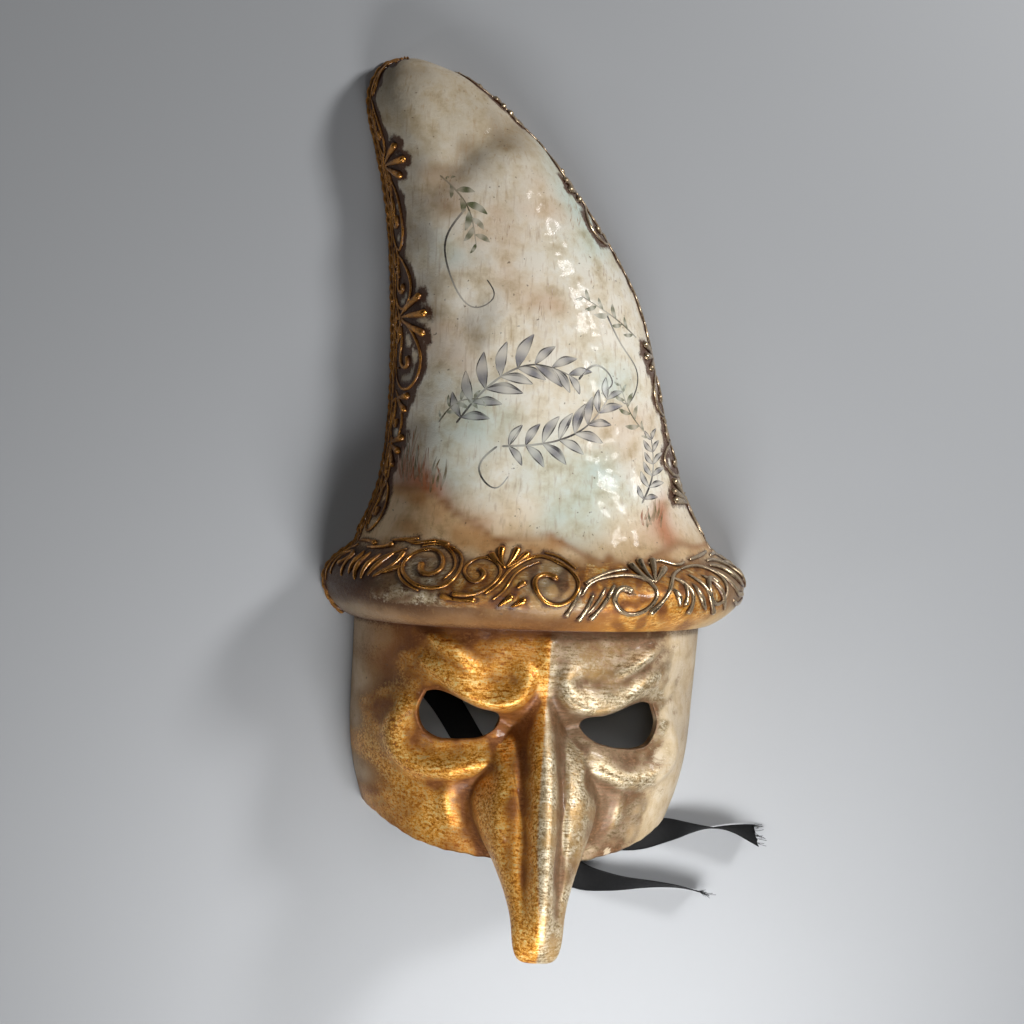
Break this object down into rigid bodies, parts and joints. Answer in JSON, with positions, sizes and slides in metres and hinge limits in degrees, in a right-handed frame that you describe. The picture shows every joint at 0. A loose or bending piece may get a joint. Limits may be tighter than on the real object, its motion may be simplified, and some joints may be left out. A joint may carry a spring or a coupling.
{
  "type": "long-nosed carnival mask",
  "caption": "Long-nosed half mask of painted papier-mache with a tall bent hat, piped scrollwork and satin tie ribbons.",
  "frame": {"origin": "middle of the mask's outline on the plane it lies on, without the ribbons", "axes": "+X to the right as one looks at the face, +Y from the nose to the hat's tip, +Z out of the face"},
  "size_m": [0.2352, 0.4348, 0.1169],
  "materials": {
    "painted_papier_mache": "gloss",
    "bronze_relief": "satin",
    "silver_relief": "satin",
    "black_satin": "satin"
  },
  "bodies": {
    "root": {"mask_shell": "painted_papier_mache", "brim_scrollwork_left": "bronze_relief", "brim_scrollwork_right": "silver_relief", "hat_edge_scrollwork_left": "bronze_relief", "hat_edge_scrollwork_right": "silver_relief", "ribbon_left": "black_satin", "ribbon_right": "black_satin"}
  },
  "joints": []
}
